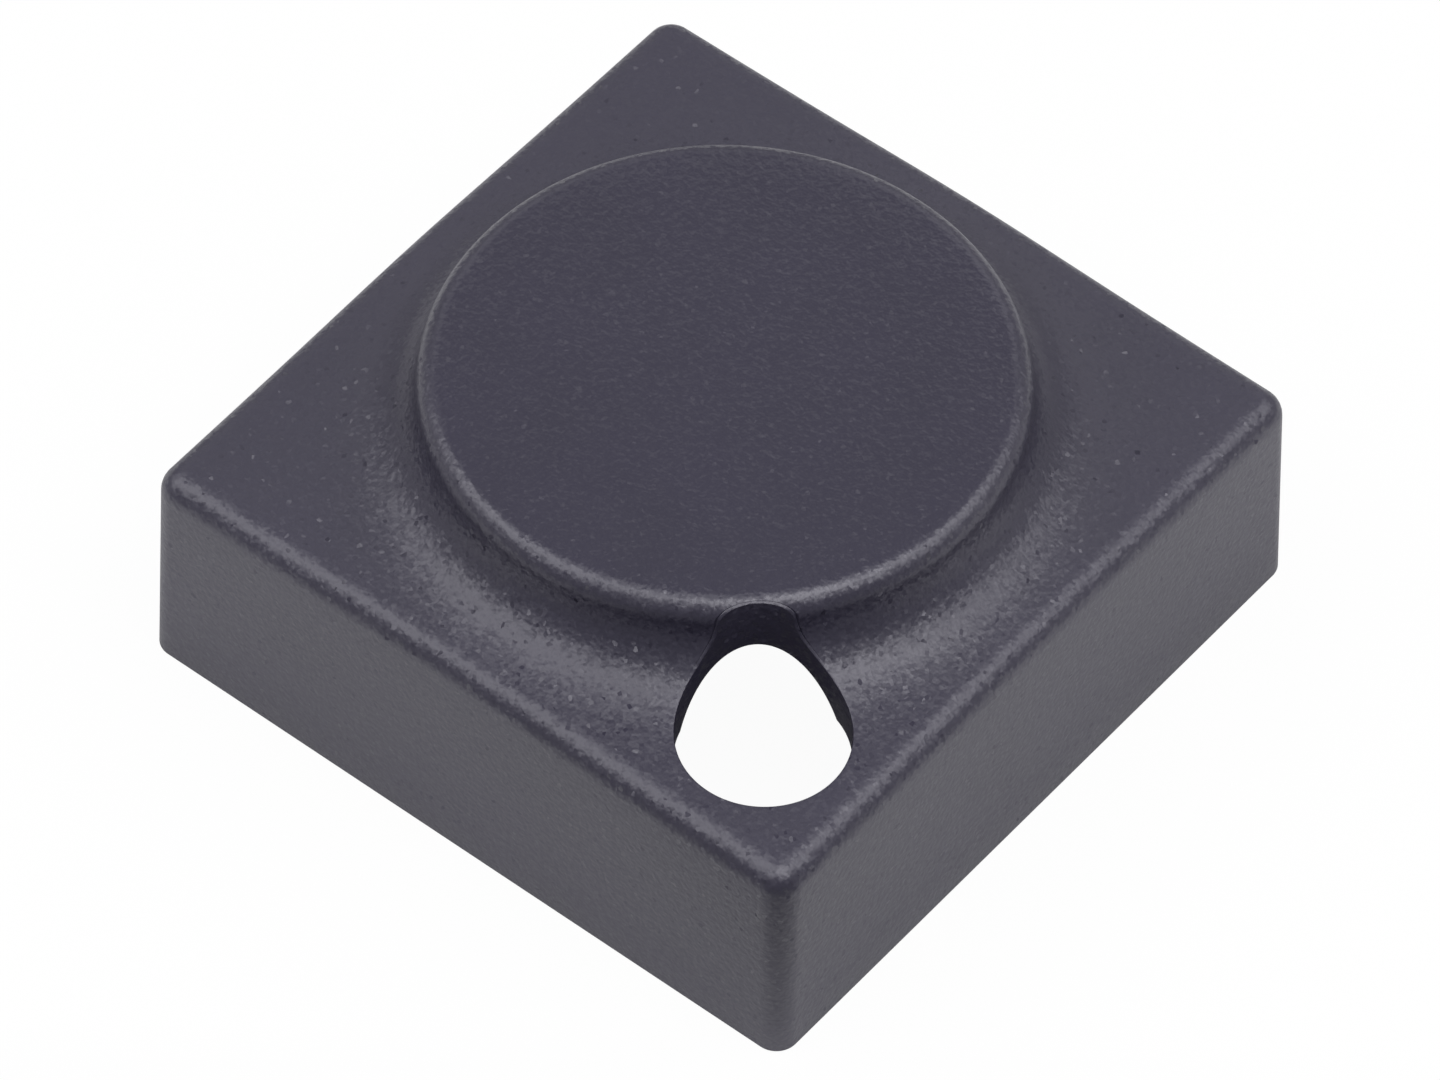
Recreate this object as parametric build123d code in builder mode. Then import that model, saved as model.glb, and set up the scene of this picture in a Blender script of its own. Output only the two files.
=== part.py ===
from build123d import *
from math import radians, sqrt, tan
import os

# A square push-button cap for a tactile switch, moulded in one piece, with an
# LED hole bitten out of the edge of its round disc.
# Millimetres. The cap stands on its rim: the origin is the middle of the rim,
# +Z is up, and the LED hole is towards the corner between +X and -Y.

# --- Driving dimensions ------------------------------------------------------

# body
side = 15.0                # across two opposite side faces, at the rim
side_draft = 1.0           # degrees that each side face leans in
shoulder_height = 4.91     # rim to the foot of the sweep
total_height = 6.73        # rim to the face of the disc
edge_radius = 0.5          # rounding along the top edges of the body
rim_corner_radius = 0.45   # upright corners, at the rim
high_corner_radius = 0.55  # upright corners, carried up to the disc's face

# raised disc, and the sweep that runs from its rounded edge out to the corners
disc_radius = 5.6
disc_edge_radius = 0.42
sweep_reach = 1.3          # from the disc's radius out to the foot of the sweep
sweep_pull = 1.63          # how strongly the foot draws the sweep towards it
corner_fall = 0.05         # from the foot of the sweep down to the corners

# LED hole
led_diameter = 3.0
led_clearance = 0.1        # all round the LED
led_offset = 4.955         # from the cap's axis, along +X and along -Y

# walls
skirt_wall = 0.75          # at the rim; clears the LED hole at the plate
plate_wall = 0.7           # under the foot of the sweep
disc_wall = 0.85           # under the face of the disc
recess_outset = 0.81       # of the recess's mouth, out from the disc's radius
recess_slope = 52.0        # degrees from level, side of the recess
core_draft = 0.75          # degrees, inside of the skirt
core_corner_radius = 0.6

# socket for the plunger of the switch
plunger_diameter = 3.5
plunger_grip = 0.05        # the socket is this much smaller across
socket_depth = 3.0
socket_lead_in = 0.25
socket_wall = 0.95
socket_cover = 0.4         # left between the end of the socket and the recess
rib_thickness = 0.8
rib_step = 0.4             # the ribs stop this far above the plate's underside

# --- Sizes that follow from them ---------------------------------------------

high_side = side - 2 * total_height * tan(radians(side_draft))
corner_distance = side / sqrt(2)
sweep_top = total_height - disc_edge_radius
plate_underside = shoulder_height - plate_wall
core_width = side - 2 * skirt_wall
recess_ceiling = total_height - disc_wall
led_hole_radius = led_diameter / 2 + led_clearance
socket_radius = (plunger_diameter - plunger_grip) / 2
socket_end = recess_ceiling - socket_cover
socket_mouth = socket_end - socket_depth
rib_underside = plate_underside + rib_step
bite = 0.02                # how far joined or cut shapes run into each other


def recess_radius(height):
    """Radius of the conical recess under the disc, at a height above the rim."""
    return disc_radius + recess_outset - (height - plate_underside) / tan(radians(recess_slope))


def stands_on_rim(face):
    """True for the upright faces: they reach down to the rim and don't lie in it."""
    box = face.bounding_box()
    return box.min.Z < bite and box.size.Z > bite


with BuildPart() as button_cap:
    # square body that narrows towards the top, where its corners round off more
    with BuildSketch(Plane.XY):
        RectangleRounded(side, side, rim_corner_radius)
    with BuildSketch(Plane.XY.offset(total_height)):
        RectangleRounded(high_side, high_side, high_corner_radius)
    loft(ruled=True)

    # top turned to one profile: the disc, its rounded edge and the sweep, which
    # starts upright, bends at its foot and runs out nearly level at the corners
    with BuildSketch(Plane.XZ):
        with BuildLine():
            Line((0, 0), (0, total_height))
            Line((0, total_height), (disc_radius - disc_edge_radius, total_height))
            RadiusArc(
                (disc_radius - disc_edge_radius, total_height),
                (disc_radius, sweep_top),
                disc_edge_radius,
            )
            Bezier(
                (disc_radius, sweep_top),
                (disc_radius, shoulder_height),
                (disc_radius + sweep_reach, shoulder_height),
                (corner_distance, shoulder_height - corner_fall),
                weights=(1, 1, sweep_pull, 1),
            )
            Line((corner_distance, shoulder_height - corner_fall), (corner_distance, 0))
            Line((corner_distance, 0), (0, 0))
        make_face()
    revolve(axis=Axis.Z, mode=Mode.INTERSECT)

    # rounded top edges, which rise in the middle of each side with the sweep
    upright_edges = button_cap.faces().filter_by(stands_on_rim).edges()
    top_edges = upright_edges.filter_by(lambda e: e.bounding_box().min.Z > plate_underside)
    fillet(top_edges, edge_radius)

    # hollow of the skirt
    with BuildSketch(Plane.XY):
        RectangleRounded(core_width, core_width, core_corner_radius)
    extrude(amount=plate_underside, taper=core_draft, mode=Mode.SUBTRACT)

    # recess in the disc, which keeps the wall thin under the sweep
    with BuildSketch(Plane.XZ):
        Polygon(
            (0, plate_underside - bite),
            (recess_radius(plate_underside - bite), plate_underside - bite),
            (recess_radius(recess_ceiling), recess_ceiling),
            (0, recess_ceiling),
            align=None,
        )
    revolve(axis=Axis.Z, mode=Mode.SUBTRACT)

    # ribs that cross the recess, shaped to its sides
    for plane in (Plane.XZ, Plane.YZ):
        with BuildSketch(plane):
            Polygon(
                (-recess_radius(rib_underside) - bite, rib_underside),
                (recess_radius(rib_underside) + bite, rib_underside),
                (recess_radius(recess_ceiling) + bite, recess_ceiling + bite),
                (-recess_radius(recess_ceiling) - bite, recess_ceiling + bite),
                align=None,
            )
        extrude(amount=rib_thickness / 2, both=True)

    # boss and the socket in it
    with BuildSketch(Plane.XY.offset(socket_mouth)):
        Circle(socket_radius + socket_wall)
    extrude(amount=recess_ceiling + bite - socket_mouth)
    with BuildSketch(Plane.XY.offset(socket_mouth)):
        Circle(socket_radius)
    extrude(amount=socket_depth, mode=Mode.SUBTRACT)
    mouth_edges = button_cap.edges().filter_by(GeomType.CIRCLE).filter_by(
        lambda e: abs(e.radius - socket_radius) < bite
    )
    chamfer(mouth_edges.sort_by(Axis.Z)[0], socket_lead_in)

    # LED hole, straight down through the sweep and the edge of the disc
    with Locations((led_offset, -led_offset, total_height)):
        Hole(led_hole_radius)

button_cap.part.label = "button_cap"
os.makedirs("parts", exist_ok=True)
export_step(button_cap.part, "parts/button_cap.step")
print("button_cap volume", round(button_cap.part.volume, 2))
print("socket radius", socket_radius, "mouth", round(socket_mouth, 4), "end", round(socket_end, 4))
print("led hole radius", led_hole_radius)
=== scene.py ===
# %% [markdown]
# # A push-button cap
#
# This notebook dresses one small moulded part: the square cap of a push button, 15 mm across,
# with a raised round disc on top and a hole at one corner for an LED. It is black plastic,
# straight from the mould, and its whole charm is in how soft light runs over the rounded edges
# and the grained skin.
#
# The solid model of the cap comes first. It fixes the place and the size of everything that
# follows.

# %% Load the solid model
from math import cos, pi, radians, sin, sqrt, tan

import bpy
import numpy as np
from mathutils import Matrix, Vector


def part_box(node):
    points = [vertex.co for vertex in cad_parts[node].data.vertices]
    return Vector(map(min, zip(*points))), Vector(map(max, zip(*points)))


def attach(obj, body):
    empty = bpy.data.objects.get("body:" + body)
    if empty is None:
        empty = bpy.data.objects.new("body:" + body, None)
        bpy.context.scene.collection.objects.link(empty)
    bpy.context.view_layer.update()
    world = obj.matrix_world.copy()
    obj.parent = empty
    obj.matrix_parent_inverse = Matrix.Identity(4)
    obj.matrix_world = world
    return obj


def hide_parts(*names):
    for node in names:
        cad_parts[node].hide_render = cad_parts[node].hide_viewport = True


MM_PER_METRE = 1000

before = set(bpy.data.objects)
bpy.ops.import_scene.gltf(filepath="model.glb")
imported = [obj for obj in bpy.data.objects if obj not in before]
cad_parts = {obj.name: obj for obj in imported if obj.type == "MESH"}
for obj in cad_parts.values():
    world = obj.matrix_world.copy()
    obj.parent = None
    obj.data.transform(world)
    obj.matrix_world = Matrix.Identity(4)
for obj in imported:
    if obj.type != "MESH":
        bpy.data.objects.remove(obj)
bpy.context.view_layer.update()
cap_low, cap_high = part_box("button_cap")
print("the cap's box in mm:", [round(v * MM_PER_METRE, 3) for v in (*cap_low, *cap_high)])

# %% [markdown]
# ## The sizes of the cap
#
# A moulded part is described by a few sizes. The side and the height are measured on the solid,
# so the two models can't drift apart. The others are the designer's: the disc, the sweep round
# its foot, the rounded edges and the wall thicknesses. They are in millimetres here and turned
# into metres at the very end, because that is how a maker thinks of them.

# %% Sizes in millimetres
SIDE = (cap_high[0] - cap_low[0]) * MM_PER_METRE
HEIGHT = (cap_high[2] - cap_low[2]) * MM_PER_METRE

SHOULDER = 4.91           # height of the foot of the sweep
EDGE = 0.5                # rounding of the top edges
CORNER_RIM = 0.45         # upright corners, at the rim
CORNER_HIGH = 0.55        # upright corners, carried up to the disc's face
SIDE_DRAFT = 1.0          # degrees that the sides lean in, so the cap leaves its mould

DISC = 5.6                # radius of the disc
DISC_EDGE = 0.42          # rounding of the disc's rim
SWEEP_TOP = HEIGHT - DISC_EDGE
SWEEP_REACH = 1.3         # from the disc's radius out to the foot of the sweep
SWEEP_PULL = 1.63         # how strongly the foot draws the sweep towards it
CORNER_FALL = 0.05        # from the foot of the sweep down to the corners
CORNER_AT = SIDE / sqrt(2)

LED_HOLE = 1.6            # radius
LED_AT = (4.955, -4.955)
LED_EDGE = 0.025          # the steel of the mould leaves a very small rounding

SKIRT_INSIDE = SIDE / 2 - 0.75
SKIRT_DRAFT = 0.75        # degrees
SKIRT_CORNER = 0.6
PLATE_UNDERSIDE = SHOULDER - 0.7
RECESS_CEILING = HEIGHT - 0.85
RECESS_OUTSET = 0.81      # of the recess's mouth, out from the disc's radius
RECESS_SLOPE = 52.0       # degrees

print("side", round(SIDE, 3), "height", round(HEIGHT, 3))
print("the sweep starts at", round(SWEEP_TOP, 3))

# %% [markdown]
# ## The outside skin
#
# There are two easy ways to get this shape, and both fall short. Cutting a block with a turned
# shape leaves an edge that bows up in the middle of each side, and a bevel on such an edge is
# never clean. Subdivision surfaces make soft edges, but not edges of a known radius.
#
# So the skin is laid down ring by ring, as a potter coils clay: each ring has the same number of
# points, and a rule says where each point goes. From the rim a ring climbs the side, rolls over
# the edge on a ball of half a millimetre, slides in along the flat and the sweep, climbs the
# disc and closes in its middle. The ball touches the side and the top at once, whatever the
# slope of the top, so the edge keeps its radius all the way round.
#
# First, the height of the top at any distance from the axis, and which way it faces there. The
# sweep is one curve drawn by four points. It starts upright at the disc, the two middle points
# pull it into the foot, and it runs out nearly level at the corners. It is laid out once as a
# fine table to look up in, with more entries near the disc, where it is steepest.

# %% The turned top
SWEEP_ENTRIES = 3001      # in the table of the sweep


def sweep_curve(t):
    """Distances from the axis and heights along the sweep, for t from 0 at the disc to 1."""
    t = t[:, None]
    points = np.array([(DISC, SWEEP_TOP), (DISC, SHOULDER), (DISC + SWEEP_REACH, SHOULDER),
                       (CORNER_AT, SHOULDER - CORNER_FALL)])
    pulls = np.concatenate([(1 - t)**3, 3 * t * (1 - t)**2, 3 * t**2 * (1 - t), t**3], axis=1)
    pulls *= (1, 1, SWEEP_PULL, 1)
    return (pulls @ points / pulls.sum(axis=1, keepdims=True)).T


sweep_r, sweep_z = sweep_curve(np.linspace(0, 1, SWEEP_ENTRIES)**2)
sweep_slope = -np.gradient(sweep_z, sweep_r)


def top_height(r):
    """Height of the top at a distance r from the axis."""
    r = np.asarray(r, float)
    rim = np.clip(r - (DISC - DISC_EDGE), 0, DISC_EDGE)
    disc = SWEEP_TOP + np.sqrt(DISC_EDGE**2 - rim**2)
    return np.where(r < DISC, disc, np.interp(r, sweep_r, sweep_z))


def top_facing(x, y):
    """Unit vectors square to the sweep and the flats at the points x, y."""
    r = np.hypot(x, y)
    slope = np.interp(r, sweep_r, sweep_slope)
    facing = np.stack([slope * x / r, slope * y / r, np.ones_like(r)], axis=1)
    return facing / np.linalg.norm(facing, axis=1, keepdims=True)


for r in (0, 5.4, 6.0, 7.5, 9.0):
    print("at", r, "mm from the axis the top is", round(float(top_height(r)), 3), "mm high")

# %% [markdown]
# Next, the outline of a rounded square, as a list of points and the way each faces. The corners
# get as many points as they need to look round. All outlines share the same count, so rings can
# be joined.

# %% Outline of a rounded square
SIDE_STEPS = 72
CORNER_STEPS = 20


def outline(half, corner):
    """Points and outward directions round a square of that half width, with round corners."""
    points, facings = [], []
    for quarter in range(4):
        turn = quarter * pi / 2
        along = np.linspace(-1, 1, SIDE_STEPS, endpoint=False) * (half - corner)
        straight = np.stack([np.full(SIDE_STEPS, half), along], axis=1)
        bend = np.linspace(0, pi / 2, CORNER_STEPS, endpoint=False)
        round_off = np.stack([np.cos(bend), np.sin(bend)], axis=1)
        part = np.concatenate([straight, half - corner + corner * round_off])
        facing = np.concatenate([np.tile([1.0, 0.0], (SIDE_STEPS, 1)), round_off])
        spin = np.array([[cos(turn), sin(turn)], [-sin(turn), cos(turn)]])
        points.append(part @ spin)
        facings.append(facing @ spin)
    return np.concatenate(points), np.concatenate(facings)


ring_size = len(outline(1, 0.1)[0])
print("points in a ring:", ring_size)

# %% [markdown]
# Now the ball that rounds the top edge. It stands half a millimetre in from the side, and it has
# to touch the top as well. Where it touches isn't known at once, because the top slopes: guess
# the point straight above the ball's middle, see which way the top faces there, move the point,
# and look again. A few rounds settle it.

# %% Where the rounding ball rests
LOOKS = 12                # rounds of guessing, for the height and for the touching point
lean = radians(SIDE_DRAFT)
wall_low, wall_facing = outline(SIDE / 2, CORNER_RIM)
wall_high, _ = outline(SIDE / 2 - HEIGHT * tan(lean), CORNER_HIGH)


def wall_points(height):
    """Points of the skirt's outside, each at its own height."""
    share = (np.asarray(height) / HEIGHT)[:, None]
    return wall_low + (wall_high - wall_low) * share


def rest_ball():
    """Middle of the ball, and the way it faces the top where it touches it, all round."""
    height = np.full(ring_size, SHOULDER - EDGE)
    for _ in range(LOOKS):
        middle = wall_points(height) - EDGE / cos(lean) * wall_facing
        touch = middle.copy()
        for _ in range(LOOKS):
            facing = top_facing(touch[:, 0], touch[:, 1])
            touch = middle + EDGE * facing[:, :2]
        height = top_height(np.hypot(touch[:, 0], touch[:, 1])) - EDGE * facing[:, 2]
    return np.column_stack([middle, height]), facing


ball, ball_facing = rest_ball()
print("the ball's middle is between", round(ball[:, 2].min(), 3), "and",
      round(ball[:, 2].max(), 3), "mm high")

# %% [markdown]
# With the ball in place, every ring of the outside can be laid. The rings are close together
# where the skin bends sharply and further apart where it is flat. A few helpers say the same
# thing in each part: a ring at one height, a quarter turn in equal steps, and the way from the
# axis out to each point.

# %% Helpers for rings
def level_ring(points, height):
    return np.column_stack([points, np.full(len(points), height)])


def quarter_turn(steps):
    return np.linspace(0, pi / 2, steps + 1)


def from_axis(points):
    """Distances of points from the axis, and unit vectors from the axis towards them."""
    reach = np.hypot(points[:, 0], points[:, 1])
    return reach, points[:, :2] / reach[:, None]


print("a quarter turn in 3 steps:", [round(float(angle), 3) for angle in quarter_turn(3)])

# %% Rings of the side and its rounded edge
FOOT = 0.02               # rounding of the rim's outer edge
FOOT_RINGS = 3
SIDE_RINGS = 6
EDGE_RINGS = 10
side_facing = np.column_stack([wall_facing * cos(lean), np.full(ring_size, sin(lean))])


def rings_of_side():
    """The small rounding at the rim and the side, from the rim up."""
    rings = []
    for angle in quarter_turn(FOOT_RINGS)[:-1]:
        height = np.full(ring_size, FOOT * (1 - sin(angle)))
        inset = FOOT * (1 - cos(angle))
        rings.append(np.column_stack([wall_points(height) - inset * wall_facing, height]))
    rings.reverse()
    for share in np.linspace(0, 1, SIDE_RINGS + 1)[1:]:
        height = FOOT + (ball[:, 2] + EDGE * sin(lean) - FOOT) * share
        rings.append(np.column_stack([wall_points(height), height]))
    return rings


def rings_of_edge():
    """The ball rolled from the side up to the top."""
    rings = []
    spread = np.arccos(np.clip((side_facing * ball_facing).sum(axis=1), -1, 1))
    for step in range(1, EDGE_RINGS + 1):
        share = step / EDGE_RINGS
        part_side = (np.sin((1 - share) * spread) / np.sin(spread))[:, None]
        part_top = (np.sin(share * spread) / np.sin(spread))[:, None]
        rings.append(ball + EDGE * (part_side * side_facing + part_top * ball_facing))
    return rings


outside = rings_of_side() + rings_of_edge()
print("rings of the side and its edge:", len(outside))

# %% Rings of the top
SWEEP_RINGS = 52
DISC_EDGE_RINGS = 12
DISC_SHARES = (0.85, 0.65, 0.45, 0.25, 0.1)   # rings on the disc, as shares of its flat part


def rings_of_top(start):
    """The flat, the sweep and the disc, from the edge in to the axis."""
    reach, bearing = from_axis(start)
    rings = []
    for share in np.linspace(1, 0, SWEEP_RINGS + 1)[1:]:
        r = DISC + (reach - DISC) * (1 - cos(share * pi / 2))
        rings.append(np.column_stack([bearing * r[:, None], np.interp(r, sweep_r, sweep_z)]))
    for angle in quarter_turn(DISC_EDGE_RINGS)[1:]:
        r = DISC - DISC_EDGE * (1 - cos(angle))
        rings.append(level_ring(bearing * r, HEIGHT - DISC_EDGE * (1 - sin(angle))))
    for share in DISC_SHARES:
        rings.append(level_ring(bearing * (DISC - DISC_EDGE) * share, HEIGHT))
    return rings


outside += rings_of_top(outside[-1])
print("rings outside:", len(outside))

# %% [markdown]
# ## The inside skin
#
# Nobody sees the inside of a cap in use, but a moulder would know it at once: walls of even
# thickness, because thick plastic sinks as it cools, and sides that open a little towards the
# rim, so the cap comes off the core. The recess under the disc is a cone that follows the sweep
# above it.

# %% Rings of the inside
INNER_CORNER = 0.2        # rounding where the skirt meets the plate
INNER_RINGS = 5           # in the skirt, in the rounding and in the recess
CEILING_SHARES = (0.75, 0.5, 0.25, 0.1)       # rings on the ceiling, as shares of its radius


def recess_radius(height):
    """Radius of the conical recess under the disc, at a height above the rim."""
    return DISC + RECESS_OUTSET - (height - PLATE_UNDERSIDE) / tan(radians(RECESS_SLOPE))


def rings_of_inside():
    """The inside of the skirt, its rounding, the recess and its ceiling, from the rim up."""
    rings = []
    bend_start = PLATE_UNDERSIDE - INNER_CORNER
    for height in np.linspace(0, bend_start, INNER_RINGS + 1):
        narrower = height * tan(radians(SKIRT_DRAFT))
        points, facing = outline(SKIRT_INSIDE - narrower, SKIRT_CORNER - narrower)
        rings.append(level_ring(points, height))
    for angle in quarter_turn(INNER_RINGS)[1:]:
        inset = INNER_CORNER * (1 - cos(angle))
        height = bend_start + INNER_CORNER * sin(angle)
        rings.append(level_ring(points - inset * facing, height))
    _, bearing = from_axis(rings[-1])
    for height in np.linspace(PLATE_UNDERSIDE, RECESS_CEILING, INNER_RINGS + 1):
        rings.append(level_ring(bearing * recess_radius(height), height))
    for share in CEILING_SHARES:
        ring = bearing * recess_radius(RECESS_CEILING) * share
        rings.append(level_ring(ring, RECESS_CEILING))
    return rings


inside = rings_of_inside()
print("rings inside:", len(inside))

# %% [markdown]
# ## Joining rings into a closed shell
#
# Neighbouring rings are joined by four-sided faces, and each end is closed by a fan of triangles
# round one point. The rings run in one line from the middle of the disc, out over the edge, down
# the side, under the rim and up the inside to the middle of the ceiling, so the shell has no
# seam and no hole.

# %% A mesh from rings
def signed_volume(mesh):
    """Volume of a closed mesh, negative where it is inside out."""
    mesh.calc_loop_triangles()
    corners = np.zeros(len(mesh.vertices) * 3)
    mesh.vertices.foreach_get("co", corners)
    triangles = np.zeros(len(mesh.loop_triangles) * 3, int)
    mesh.loop_triangles.foreach_get("vertices", triangles)
    a, b, c = corners.reshape(-1, 3)[triangles.reshape(-1, 3)].transpose(1, 0, 2)
    return float(np.einsum("ij,ij->i", a, np.cross(b, c)).sum() / 6)


def mesh_from_rings(name, rings):
    """A closed mesh in millimetres from rings of equal size, with its faces pointing out."""
    count = len(rings[0])
    ends = [rings[0].mean(axis=0), rings[-1].mean(axis=0)]
    points = np.concatenate([*rings, ends])
    here = np.arange(count)
    after = (here + 1) % count
    faces = []
    for level in range(len(rings) - 1):
        low, high = level * count, (level + 1) * count
        quads = [low + here, low + after, high + after, high + here]
        faces += np.column_stack(quads).tolist()
    start, end = len(points) - 2, len(points) - 1
    last = (len(rings) - 1) * count
    faces += np.column_stack([after, here, np.full(count, start)]).tolist()
    faces += np.column_stack([last + here, last + after, np.full(count, end)]).tolist()
    mesh = bpy.data.meshes.new(name)
    mesh.from_pydata(points.tolist(), [], faces)
    if signed_volume(mesh) < 0:
        mesh.flip_normals()
    return mesh


def place(mesh, name):
    piece = bpy.data.objects.new(name, mesh)
    bpy.context.scene.collection.objects.link(piece)
    return piece


def volume_of(piece):
    """Volume of a piece in cubic millimetres, short enough to print."""
    return round(signed_volume(piece.data), 2)


shell = place(mesh_from_rings("shell", outside[::-1] + inside), "shell")
print("shell:", len(shell.data.polygons), "faces,", volume_of(shell), "mm3 of plastic")

# %% [markdown]
# ## The boss and its socket
#
# The switch's plunger is a round peg, and the cap sits on it by a tight fit in a round socket.
# The boss round the socket and the tool that bores it are both turned shapes: a profile spun
# about the axis. The boss runs a little into the disc, so the two melt into one when they are
# joined. Its rounding at the ceiling stops short of level and dives in there, because two skins
# that only just touch can't be joined cleanly.

# %% Turned shapes
SOCKET = 1.725            # radius
SOCKET_END = RECESS_CEILING - 0.4
SOCKET_MOUTH = SOCKET_END - 3.0
SOCKET_LEAD_IN = 0.25
BOSS = SOCKET + 0.95
BOSS_BEVEL = 0.06         # round the end of the boss
BOSS_FOOT = 0.2           # rounding where the boss meets the ceiling
BOSS_FOOT_TURN = 75       # degrees of that rounding
BOSS_FOOT_POINTS = 6
INTO = 0.1                # how far joined shapes run into each other
TURNED_STEPS = 96


def circle(steps):
    angles = np.linspace(0, 2 * pi, steps, endpoint=False)
    return np.column_stack([np.cos(angles), np.sin(angles)])


def turned(name, profile):
    """A shape turned about the axis from a profile of (radius, height), bottom to top."""
    spokes = circle(TURNED_STEPS)
    rings = [level_ring(spokes * r, z) for r, z in profile]
    return place(mesh_from_rings(name, rings), name)


foot_bend = [(BOSS + BOSS_FOOT * (1 - cos(a)), RECESS_CEILING - BOSS_FOOT * (1 - sin(a)))
             for a in np.linspace(0, radians(BOSS_FOOT_TURN), BOSS_FOOT_POINTS)]
boss = turned("boss", [(BOSS - BOSS_BEVEL, SOCKET_MOUTH),
                       (BOSS, SOCKET_MOUTH + BOSS_BEVEL),
                       *foot_bend,
                       (BOSS + BOSS_FOOT, RECESS_CEILING + INTO)])
socket = turned("socket", [(SOCKET + SOCKET_LEAD_IN, SOCKET_MOUTH - INTO),
                           (SOCKET + SOCKET_LEAD_IN, SOCKET_MOUTH),
                           (SOCKET, SOCKET_MOUTH + SOCKET_LEAD_IN),
                           (SOCKET, SOCKET_END)])
print("boss", volume_of(boss), "mm3, socket", volume_of(socket), "mm3")

# %% [markdown]
# ## The ribs
#
# Four ribs tie the boss to the sides of the recess. They are one shape, repeated round the axis,
# and that is what Geometry Nodes are for: the tree shapes one rib from a block, puts it on four
# points and turns each copy outwards. Change a number on the modifier, and all four follow.
#
# Trees are built by one small helper, here and for the materials further down. It adds a node
# and says in the same line what feeds it: another node's output, or a plain value.

# %% Helpers for node trees
def node_maker(tree):
    """Short way to add a node: its type, what feeds its inputs, and its settings."""
    def make(kind, feeds=None, **settings):
        node = tree.nodes.new(kind)
        for key, value in settings.items():
            setattr(node, key, value)
        for entry, value in (feeds or {}).items():
            if isinstance(value, bpy.types.NodeSocket):
                tree.links.new(value, node.inputs[entry])
            else:
                node.inputs[entry].default_value = value
        return node

    return make


def maths(make, operation, first, second):
    """The result of a sum or product of two numbers or outputs."""
    return make("ShaderNodeMath", {0: first, 1: second}, operation=operation).outputs[0]


print("helpers:", node_maker.__name__, "and", maths.__name__)

# %% [markdown]
# The block is a cube one unit wide, and its own corners are moved by their place in it: the x of
# a corner says how far out it goes, the z how high. A corner at the top reaches less far out
# than one at the bottom, because the recess narrows upwards.

# %% A tree for the ribs
RIB_INPUTS = {"Thickness": "Float", "Underside": "Float", "Top": "Float", "Start": "Float",
              "Reach below": "Float", "Reach above": "Float", "Count": "Int",
              "Plastic": "Material"}


def rib_shape(make, given):
    """One rib, from a block whose corners are moved."""
    block = make("GeometryNodeMeshCube", {"Size": (1, 1, 1)}).outputs["Mesh"]
    corner = make("GeometryNodeInputPosition").outputs[0]
    where = make("ShaderNodeSeparateXYZ", {0: corner}).outputs
    x = maths(make, "ADD", where["X"], 0.5)      # 0 at the boss, 1 at the recess's side
    z = maths(make, "ADD", where["Z"], 0.5)      # 0 at the rib's underside, 1 at its top
    gain = maths(make, "SUBTRACT", given["Reach above"], given["Reach below"])
    reach = maths(make, "ADD", given["Reach below"], maths(make, "MULTIPLY", gain, z))
    long = maths(make, "SUBTRACT", reach, given["Start"])
    tall = maths(make, "SUBTRACT", given["Top"], given["Underside"])
    moved = make("ShaderNodeCombineXYZ", {
        "X": maths(make, "ADD", given["Start"], maths(make, "MULTIPLY", long, x)),
        "Y": maths(make, "MULTIPLY", where["Y"], given["Thickness"]),
        "Z": maths(make, "ADD", given["Underside"], maths(make, "MULTIPLY", tall, z)),
    }).outputs[0]
    return make("GeometryNodeSetPosition", {"Geometry": block, "Position": moved}).outputs[0]


def copies_round_axis(make, shape, count):
    stations = make("GeometryNodePoints", {"Count": count}).outputs[0]
    step = maths(make, "DIVIDE", 2 * pi, count)
    angle = maths(make, "MULTIPLY", step, make("GeometryNodeInputIndex").outputs[0])
    spin = make("ShaderNodeCombineXYZ", {"Z": angle}).outputs[0]
    return make("GeometryNodeInstanceOnPoints", {"Points": stations, "Instance": shape,
                                                 "Rotation": spin}).outputs[0]


def rib_tree():
    """Geometry Nodes tree that makes ribs round the axis, and the identifiers of its inputs."""
    tree = bpy.data.node_groups.new("ribs_round_the_boss", "GeometryNodeTree")
    make = node_maker(tree)
    new_socket = tree.interface.new_socket
    new_socket("Geometry", in_out="OUTPUT", socket_type="NodeSocketGeometry")
    ids = {name: new_socket(name, in_out="INPUT", socket_type="NodeSocket" + kind).identifier
           for name, kind in RIB_INPUTS.items()}
    given = make("NodeGroupInput").outputs
    copies = copies_round_axis(make, rib_shape(make, given), given["Count"])
    real = make("GeometryNodeRealizeInstances", {0: copies}).outputs[0]
    dressed = make("GeometryNodeSetMaterial", {"Geometry": real, "Material": given["Plastic"]})
    make("NodeGroupOutput", {0: dressed.outputs[0]})
    return tree, ids


ribs_tree, rib_inputs = rib_tree()
print("inputs of the tree:", ", ".join(rib_inputs))

# %% [markdown]
# The inputs of a tree on a modifier are set by their identifiers, not by their names. When the
# numbers are in, the result is copied out as a plain mesh and the modifier isn't needed any
# more. The ribs start inside the boss's wall and end a little inside the sides of the recess,
# so they too melt into what they join.

# %% Four ribs
RIB_THICKNESS = 0.8
RIB_UNDERSIDE = PLATE_UNDERSIDE + 0.4
RIB_START = SOCKET + 0.4
RIB_INTO = INTO / 3       # how far a rib runs into the sides of the recess


def plain_copy(piece, name):
    """A plain mesh of a piece with its modifiers applied, on an object of its own."""
    ready = piece.evaluated_get(bpy.context.evaluated_depsgraph_get())
    return place(bpy.data.meshes.new_from_object(ready), name)


def remove(piece):
    bpy.data.objects.remove(piece, do_unlink=True)


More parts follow.
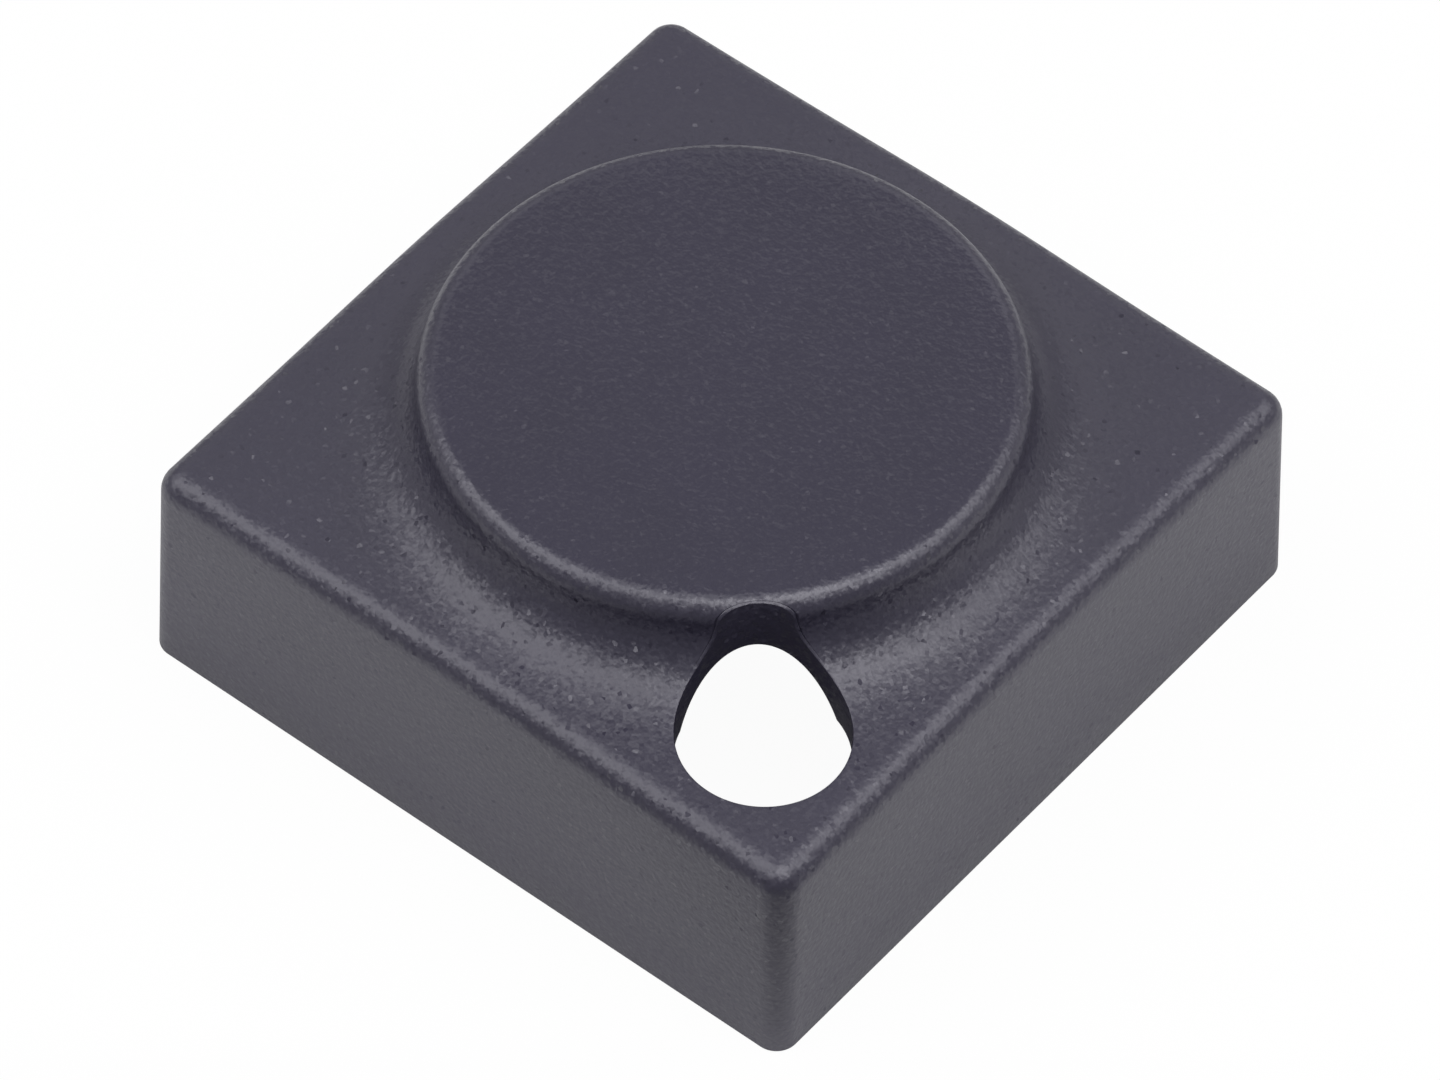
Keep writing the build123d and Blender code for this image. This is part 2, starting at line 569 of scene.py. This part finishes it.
plastic = bpy.data.materials.new("spark_eroded_black_plastic")
rib_sizes = {
    "Thickness": RIB_THICKNESS,
    "Underside": RIB_UNDERSIDE,
    "Top": RECESS_CEILING + INTO,
    "Start": RIB_START,
    "Reach below": recess_radius(RIB_UNDERSIDE) + RIB_INTO,
    "Reach above": recess_radius(RECESS_CEILING + INTO) + RIB_INTO,
    "Count": 4,
    "Plastic": plastic,
}
pattern = place(bpy.data.meshes.new("rib_pattern"), "rib_pattern")
maker = pattern.modifiers.new("ribs", "NODES")
maker.node_group = ribs_tree
for name, value in rib_sizes.items():
    maker[rib_inputs[name]] = value
ribs = plain_copy(pattern, "ribs")
remove(pattern)
print("ribs:", len(ribs.data.polygons), "faces,", volume_of(ribs), "mm3")

# %% [markdown]
# ## The LED hole
#
# The hole goes straight down at a corner, through the flat, the sweep and the edge of the disc,
# so its mouth rises and falls. The tool that cuts it is a round bar. Just under the skin,
# wherever the skin is, the bar flares a little: that leaves the small rounding that a mould's
# steel leaves, where a plain bar would leave a knife edge that catches no light.

# %% The tool for the hole
LED_STEPS = 160
BAR_BELOW = 0.3           # how far the bar reaches below the plate
BAR_ABOVE = 0.5           # and above the disc
BAR_SHARES = (0.0, 0.5, 1.0)                  # rings of the bar, from the plate to the flare
FLARE_ANGLES = (22.5, 45, 67.5)               # rings of the flare, in degrees
FLARE = 2 * LED_EDGE      # how much wider the bar is above the skin
FLARE_OVER = 0.3 * LED_EDGE                   # the height above the skin where it is that wide


def hole_tool():
    """A bar for the LED hole, whose flare follows the skin round the mouth."""
    spokes = circle(LED_STEPS)
    mouth = np.array(LED_AT) + spokes * (LED_HOLE + LED_EDGE)
    skin = top_height(np.hypot(mouth[:, 0], mouth[:, 1]))

    def ring(radius, height):
        points = np.array(LED_AT) + spokes * radius
        return np.column_stack([points, np.broadcast_to(height, LED_STEPS)])

    rings = [ring(LED_HOLE, PLATE_UNDERSIDE - BAR_BELOW)]
    for share in BAR_SHARES:
        height = PLATE_UNDERSIDE + (skin - LED_EDGE - PLATE_UNDERSIDE) * share
        rings.append(ring(LED_HOLE, height))
    for angle in map(radians, FLARE_ANGLES):
        wider = LED_EDGE * (1 - cos(angle))
        rings.append(ring(LED_HOLE + wider, skin - LED_EDGE * (1 - sin(angle))))
    rings.append(ring(LED_HOLE + FLARE, skin + FLARE_OVER))
    rings.append(ring(LED_HOLE + FLARE, HEIGHT + BAR_ABOVE))
    return place(mesh_from_rings("led_tool", rings), "led_tool")


led_tool = hole_tool()
print("tool for the hole:", volume_of(led_tool), "mm3")

# %% [markdown]
# ## One moulding
#
# The real cap is one piece of plastic, so the parts become one closed mesh: boss and ribs are
# added to the shell, socket and hole are cut from it. All shapes are closed and cross each other
# cleanly, which is what the quick Manifold solver asks for.

# %% Join and cut
def combine(body, operation, other):
    step = body.modifiers.new(other.name, "BOOLEAN")
    step.operation = operation
    step.solver = "MANIFOLD"
    step.object = other


combine(shell, "UNION", boss)
combine(shell, "UNION", ribs)
combine(shell, "DIFFERENCE", socket)
combine(shell, "DIFFERENCE", led_tool)
cap = plain_copy(shell, "push_button_cap")
for used in (shell, boss, ribs, socket, led_tool):
    remove(used)
print("cap:", len(cap.data.polygons), "faces,", volume_of(cap), "mm3 of plastic")

# %% [markdown]
# Now the cap goes from millimetres to metres. Its faces are shaded smooth, apart from the edges
# that are really sharp, such as the rim's inner edge and the mouth of the hole inside.

# %% Finish the mesh
SHARP_FROM = 32           # degrees between two faces

cap.data.transform(Matrix.Scale(1 / MM_PER_METRE, 4))
cap.data.materials.clear()
cap.data.materials.append(plastic)
cap.data.shade_smooth()
cap.data.set_sharp_from_angle(angle=radians(SHARP_FROM))
print("loose edges:", sum(edge.is_loose for edge in cap.data.edges))
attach(cap, "root")
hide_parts("button_cap")

# %% [markdown]
# ## The plastic
#
# The mould's steel was cut by sparks, which leave it covered in tiny craters, and the plastic
# copies them. From arm's length that reads as a matt, slightly silky black; close up it is a
# field of grains, under a tenth of a millimetre across, some of which glint.
#
# A printed grain wrapped round the cap would show seams and stretch at the corners. So it is made
# from patterns in the plastic itself, which stay put when the cap turns. There are three: a
# shallow bump, a small tilt given to each grain at random, and broad patches that leave the
# black a little uneven. One grain in ten draws a bigger tilt and catches the light on its own. A
# mould maker gives tall sides a finer grain, so that the cap comes out without scratches, and
# the disc is smoother too, where the finger goes: the grains of both lean less.

# %% Numbers for the plastic
CRATERS = 9.0             # per millimetre, as all three patterns
PATCHES = 0.5
GRAINS = 13.0
CRATER_DEPTH = 0.000014   # metres

DISC_FROM, DISC_TO = HEIGHT - 0.08, HEIGHT - 0.01           # millimetres above the rim
SIDE_FROM, SIDE_TO = SHOULDER - 0.2, SHOULDER - 0.6

SPARKLING = 0.90          # a grain whose lot is above this leans more
COMMON_LEAN, STRONGEST_LEAN = 0.17, 0.80
DISC_CALM, SIDE_CALM = 0.4, 0.5               # share of the lean that is left there

MATT, SILKY = 0.42, 0.29  # roughness of the flats and sides, and of the disc
DARKER, LIGHTER = (0.0211, 0.0188, 0.0365, 1), (0.0260, 0.0229, 0.0445, 1)
SHINE = (0.955, 0.94, 1.0, 1)                 # tint of the reflections

print("grains are about", round(1 / GRAINS, 3), "mm across")

# %% [markdown]
# The place on the piece is turned into millimetres first, so the patterns can be read as grains
# per millimetre. A ramp then makes one number from another: the height above the rim becomes 0
# off the disc and 1 on it, and that becomes how rough the plastic is and how far the grains
# lean.

# %% Grained black plastic
def empty_material(material):
    material.use_nodes = True
    material.node_tree.nodes.clear()
    return node_maker(material.node_tree)


def ramp(make, value, start, end, low, high):
    """A number that goes from low to high while value goes from start to end."""
    return make("ShaderNodeMapRange", {"Value": value, "From Min": start, "From Max": end,
                                       "To Min": low, "To Max": high}).outputs[0]


def vector_maths(make, operation, *feeds):
    return make("ShaderNodeVectorMath", dict(enumerate(feeds)), operation=operation)


def leaning_grains(make, in_mm, on_disc, on_side):
    """The way each grain leans away from the skin."""
    grains = make("ShaderNodeTexVoronoi", {"Vector": in_mm, "Scale": GRAINS}, feature="F1")
    lot = make("ShaderNodeTexWhiteNoise", {"Vector": grains.outputs["Position"]})
    lean_of_grain = ramp(make, lot.outputs["Value"], SPARKLING, 1, COMMON_LEAN, STRONGEST_LEAN)
    calm = maths(make, "MULTIPLY", ramp(make, on_disc, 0, 1, 1, DISC_CALM),
                 ramp(make, on_side, 0, 1, 1, SIDE_CALM))
    tilt = vector_maths(make, "SUBTRACT", grains.outputs["Color"], (0.5, 0.5, 0.5))
    lean_there = maths(make, "MULTIPLY", lean_of_grain, calm)
    return make("ShaderNodeVectorMath", {0: tilt.outputs[0], "Scale": lean_there},
                operation="SCALE").outputs[0]


def grained_plastic(material):
    make = empty_material(material)
    place_on_piece = make("ShaderNodeTexCoord").outputs["Object"]
    in_mm = make("ShaderNodeMapping", {"Vector": place_on_piece,
                                       "Scale": (MM_PER_METRE,) * 3}).outputs[0]
    level = make("ShaderNodeSeparateXYZ", {0: in_mm}).outputs["Z"]
    on_disc = ramp(make, level, DISC_FROM, DISC_TO, 0, 1)
    on_side = ramp(make, level, SIDE_FROM, SIDE_TO, 0, 1)

    craters = make("ShaderNodeTexNoise", {"Vector": in_mm, "Scale": CRATERS, "Detail": 1.0})
    relief = make("ShaderNodeBump", {"Height": craters.outputs["Fac"], "Strength": 1.0,
                                     "Distance": CRATER_DEPTH})
    leaning = leaning_grains(make, in_mm, on_disc, on_side)
    facing = vector_maths(make, "ADD", relief.outputs[0], leaning)
    facing = vector_maths(make, "NORMALIZE", facing.outputs[0])

    patches = make("ShaderNodeTexNoise", {"Vector": in_mm, "Scale": PATCHES, "Detail": 1.0})
    colour = make("ShaderNodeMix", {"Factor": patches.outputs["Fac"], "A": DARKER,
                                    "B": LIGHTER}, data_type="RGBA")
    surface = make("ShaderNodeBsdfPrincipled", {"Base Color": colour.outputs["Result"],
                                                "Roughness": ramp(make, on_disc, 0, 1,
                                                                  MATT, SILKY),
                                                "Normal": facing.outputs[0],
                                                "Specular IOR Level": 1.0,
                                                "Specular Tint": SHINE})
    make("ShaderNodeOutputMaterial", {"Surface": surface.outputs[0]})


grained_plastic(plastic)
print("nodes in the plastic:", len(plastic.node_tree.nodes))

# %% [markdown]
# ## Table, light and camera
#
# A small dark thing is shown on white, and its shape is drawn by what it reflects. The camera
# sees the table as plain white everywhere. The cap sees white paper at its sides and behind it,
# but on the viewer's side the paper is painted grey. This is a painted shade that shows only in
# the cap's reflections and in the light the table throws back: without it the upright corner and
# the foot of the disc, which face the viewer, would wash out.

# %% A white table
VIEW_TURN = 38.335        # degrees from the front that the viewer stands round to the right
TABLE_HALF = 0.6          # half the table's side, in metres, as the next three
TABLE_DROP = 0.00002      # just under the rim, so that the two skins don't coincide
# The grey on the viewer's side of the table is painted shade, seen only in reflections and
# bounced light.
PAINTED_SHADE_FROM = 0.0100       # from the cap's middle towards the viewer
PAINTED_SHADE_TO = 0.0160
PAPER, PAINTED_SHADE = 0.85, 0.22                     # how much light they give back
TABLE_GLOW = 0.96         # how white the camera sees the table


def table_material():
    material = bpy.data.materials.new("white_table")
    make = empty_material(material)
    spot = make("ShaderNodeTexCoord").outputs["Object"]
    turn = radians(VIEW_TURN)
    nearer = vector_maths(make, "DOT_PRODUCT", spot, (sin(turn), -cos(turn), 0))
    # Painted shade: the paper turns grey towards the viewer, for every ray but the camera's.
    paper_with_painted_shade = ramp(make, nearer.outputs["Value"], PAINTED_SHADE_FROM, PAINTED_SHADE_TO, PAPER, PAINTED_SHADE)
    paper = make("ShaderNodeBsdfDiffuse", {"Color": paper_with_painted_shade})
    glow = make("ShaderNodeEmission", {"Color": (1, 1, 1, 1), "Strength": 1.0})
    camera_ray = make("ShaderNodeLightPath").outputs["Is Camera Ray"]
    seen = maths(make, "MULTIPLY", camera_ray, TABLE_GLOW)
    both = make("ShaderNodeMixShader", {0: seen, 1: paper.outputs[0], 2: glow.outputs[0]})
    make("ShaderNodeOutputMaterial", {"Surface": both.outputs[0]})
    return material


def white_table():
    corners = [(-1, -1), (1, -1), (1, 1), (-1, 1)]
    mesh = bpy.data.meshes.new("table")
    mesh.from_pydata([(x * TABLE_HALF, y * TABLE_HALF, -TABLE_DROP) for x, y in corners], [],
                     [(0, 1, 2, 3)])
    mesh.materials.append(table_material())
    table = place(mesh, "table")
    return table


table = white_table()
print("table:", [round(v, 2) for v in table.dimensions], "m")

# %% [markdown]
# The light comes from a ring of soft lamps, none of them harsh. The two in front draw the bright
# bands on the sweep and on the edges, the ones at the sides light the skirt, and the ones low at
# the back catch the far side of the disc's rim. One overhead and an even, dim surround fill the
# rest. A painted surround alone could light the scene too, but lamps can be set one by one.

# %% Light
EVEN_LIGHT = 0.23
LAMP_AWAY = 0.2           # metres from the cap
LAMPS = [                 # name, turn, rise, spread, brightness
    ("overhead", 0, 90, 20, 0.8),
    ("left", -75, 50, 20, 1.7),
    ("right", 75, 50, 20, 1.25),
    ("far left", -105, 40, 18, 1.0),
    ("far right", 105, 40, 18, 1.1),
    ("back left", -160, 32, 14, 0.55),
    ("back right", 160, 32, 14, 0.67),
    ("front left", -35, 65, 15, 0.7),
    ("front right", 35, 65, 15, 3.2),
]


def even_light(strength):
    world = bpy.data.worlds.new("even_light")
    bpy.context.scene.world = world
    world.use_nodes = True
    background = world.node_tree.nodes["Background"]
    background.inputs["Color"].default_value = (1, 1, 1, 1)
    background.inputs["Strength"].default_value = strength


def soft_lamp(name, turn, rise, spread, brightness):
    """A square lamp that looks at the cap.

    turn is counted from the viewer, rise from the table, and spread is half the angle the lamp
    fills, all in degrees. brightness is that of its surface, white paper being 1.
    """
    lamp = bpy.data.lights.new(name, "AREA")
    lamp.shape = "SQUARE"
    lamp.size = 2 * LAMP_AWAY * tan(radians(spread))
    lamp.energy = brightness * pi * lamp.size**2
    holder = bpy.data.objects.new(name, lamp)
    bpy.context.scene.collection.objects.link(holder)
    bearing = radians(VIEW_TURN - 90 + turn)
    outward = Vector((cos(radians(rise)) * cos(bearing), cos(radians(rise)) * sin(bearing),
                      sin(radians(rise))))
    mid_height = HEIGHT / (2 * MM_PER_METRE)
    holder.location = outward * LAMP_AWAY + Vector((0, 0, mid_height))
    holder.rotation_euler = outward.to_track_quat("Z", "Y").to_euler()


even_light(EVEN_LIGHT)
for lamp in LAMPS:
    soft_lamp(*lamp)
print("lamps:", [thing.name for thing in bpy.data.lights])

# %% [markdown]
# A close camera would make the near corner loom. Small things are better shown by a long lens
# from far away, which keeps the cap's parallel sides nearly parallel. The camera's place is
# built from three directions: away from the cap, to the right and up.

# %% Camera
VIEW_RISE = 50.980        # degrees above the table
VIEW_ROLL = 1.153         # degrees that the camera is tipped
CAMERA_AT = (-0.0043, 0.1523, 29.461)         # right, up and away, in half sides of the cap
SENSOR, LENS = 36, 297.95                     # millimetres
NEAREST, FURTHEST = 0.01, 5                   # what the camera sees, in metres


def product_camera():
    """A long lens from far away, turned towards the cap."""
    turn, rise, roll = radians(VIEW_TURN), radians(VIEW_RISE), radians(VIEW_ROLL)
    away = Vector((cos(rise) * sin(turn), -cos(rise) * cos(turn), sin(rise)))
    right = Vector((cos(turn), sin(turn), 0))
    up = away.cross(right)
    across = right * cos(roll) + up * sin(roll)
    upward = up * cos(roll) - right * sin(roll)
    half_side = SIDE / (2 * MM_PER_METRE)
    stand = (right * CAMERA_AT[0] + up * CAMERA_AT[1] + away * CAMERA_AT[2]) * half_side
    lens = bpy.data.cameras.new("camera")
    lens.sensor_width, lens.lens = SENSOR, LENS
    lens.clip_start, lens.clip_end = NEAREST, FURTHEST
    camera = bpy.data.objects.new("camera", lens)
    bpy.context.scene.collection.objects.link(camera)
    camera.matrix_world = Matrix((
        (across.x, upward.x, away.x, stand.x),
        (across.y, upward.y, away.y, stand.y),
        (across.z, upward.z, away.z, stand.z),
        (0, 0, 0, 1)))
    bpy.context.scene.camera = camera
    return camera


camera = product_camera()
bpy.context.scene.view_settings.view_transform = "Standard"
print("camera at", [round(v, 4) for v in camera.location], "m")
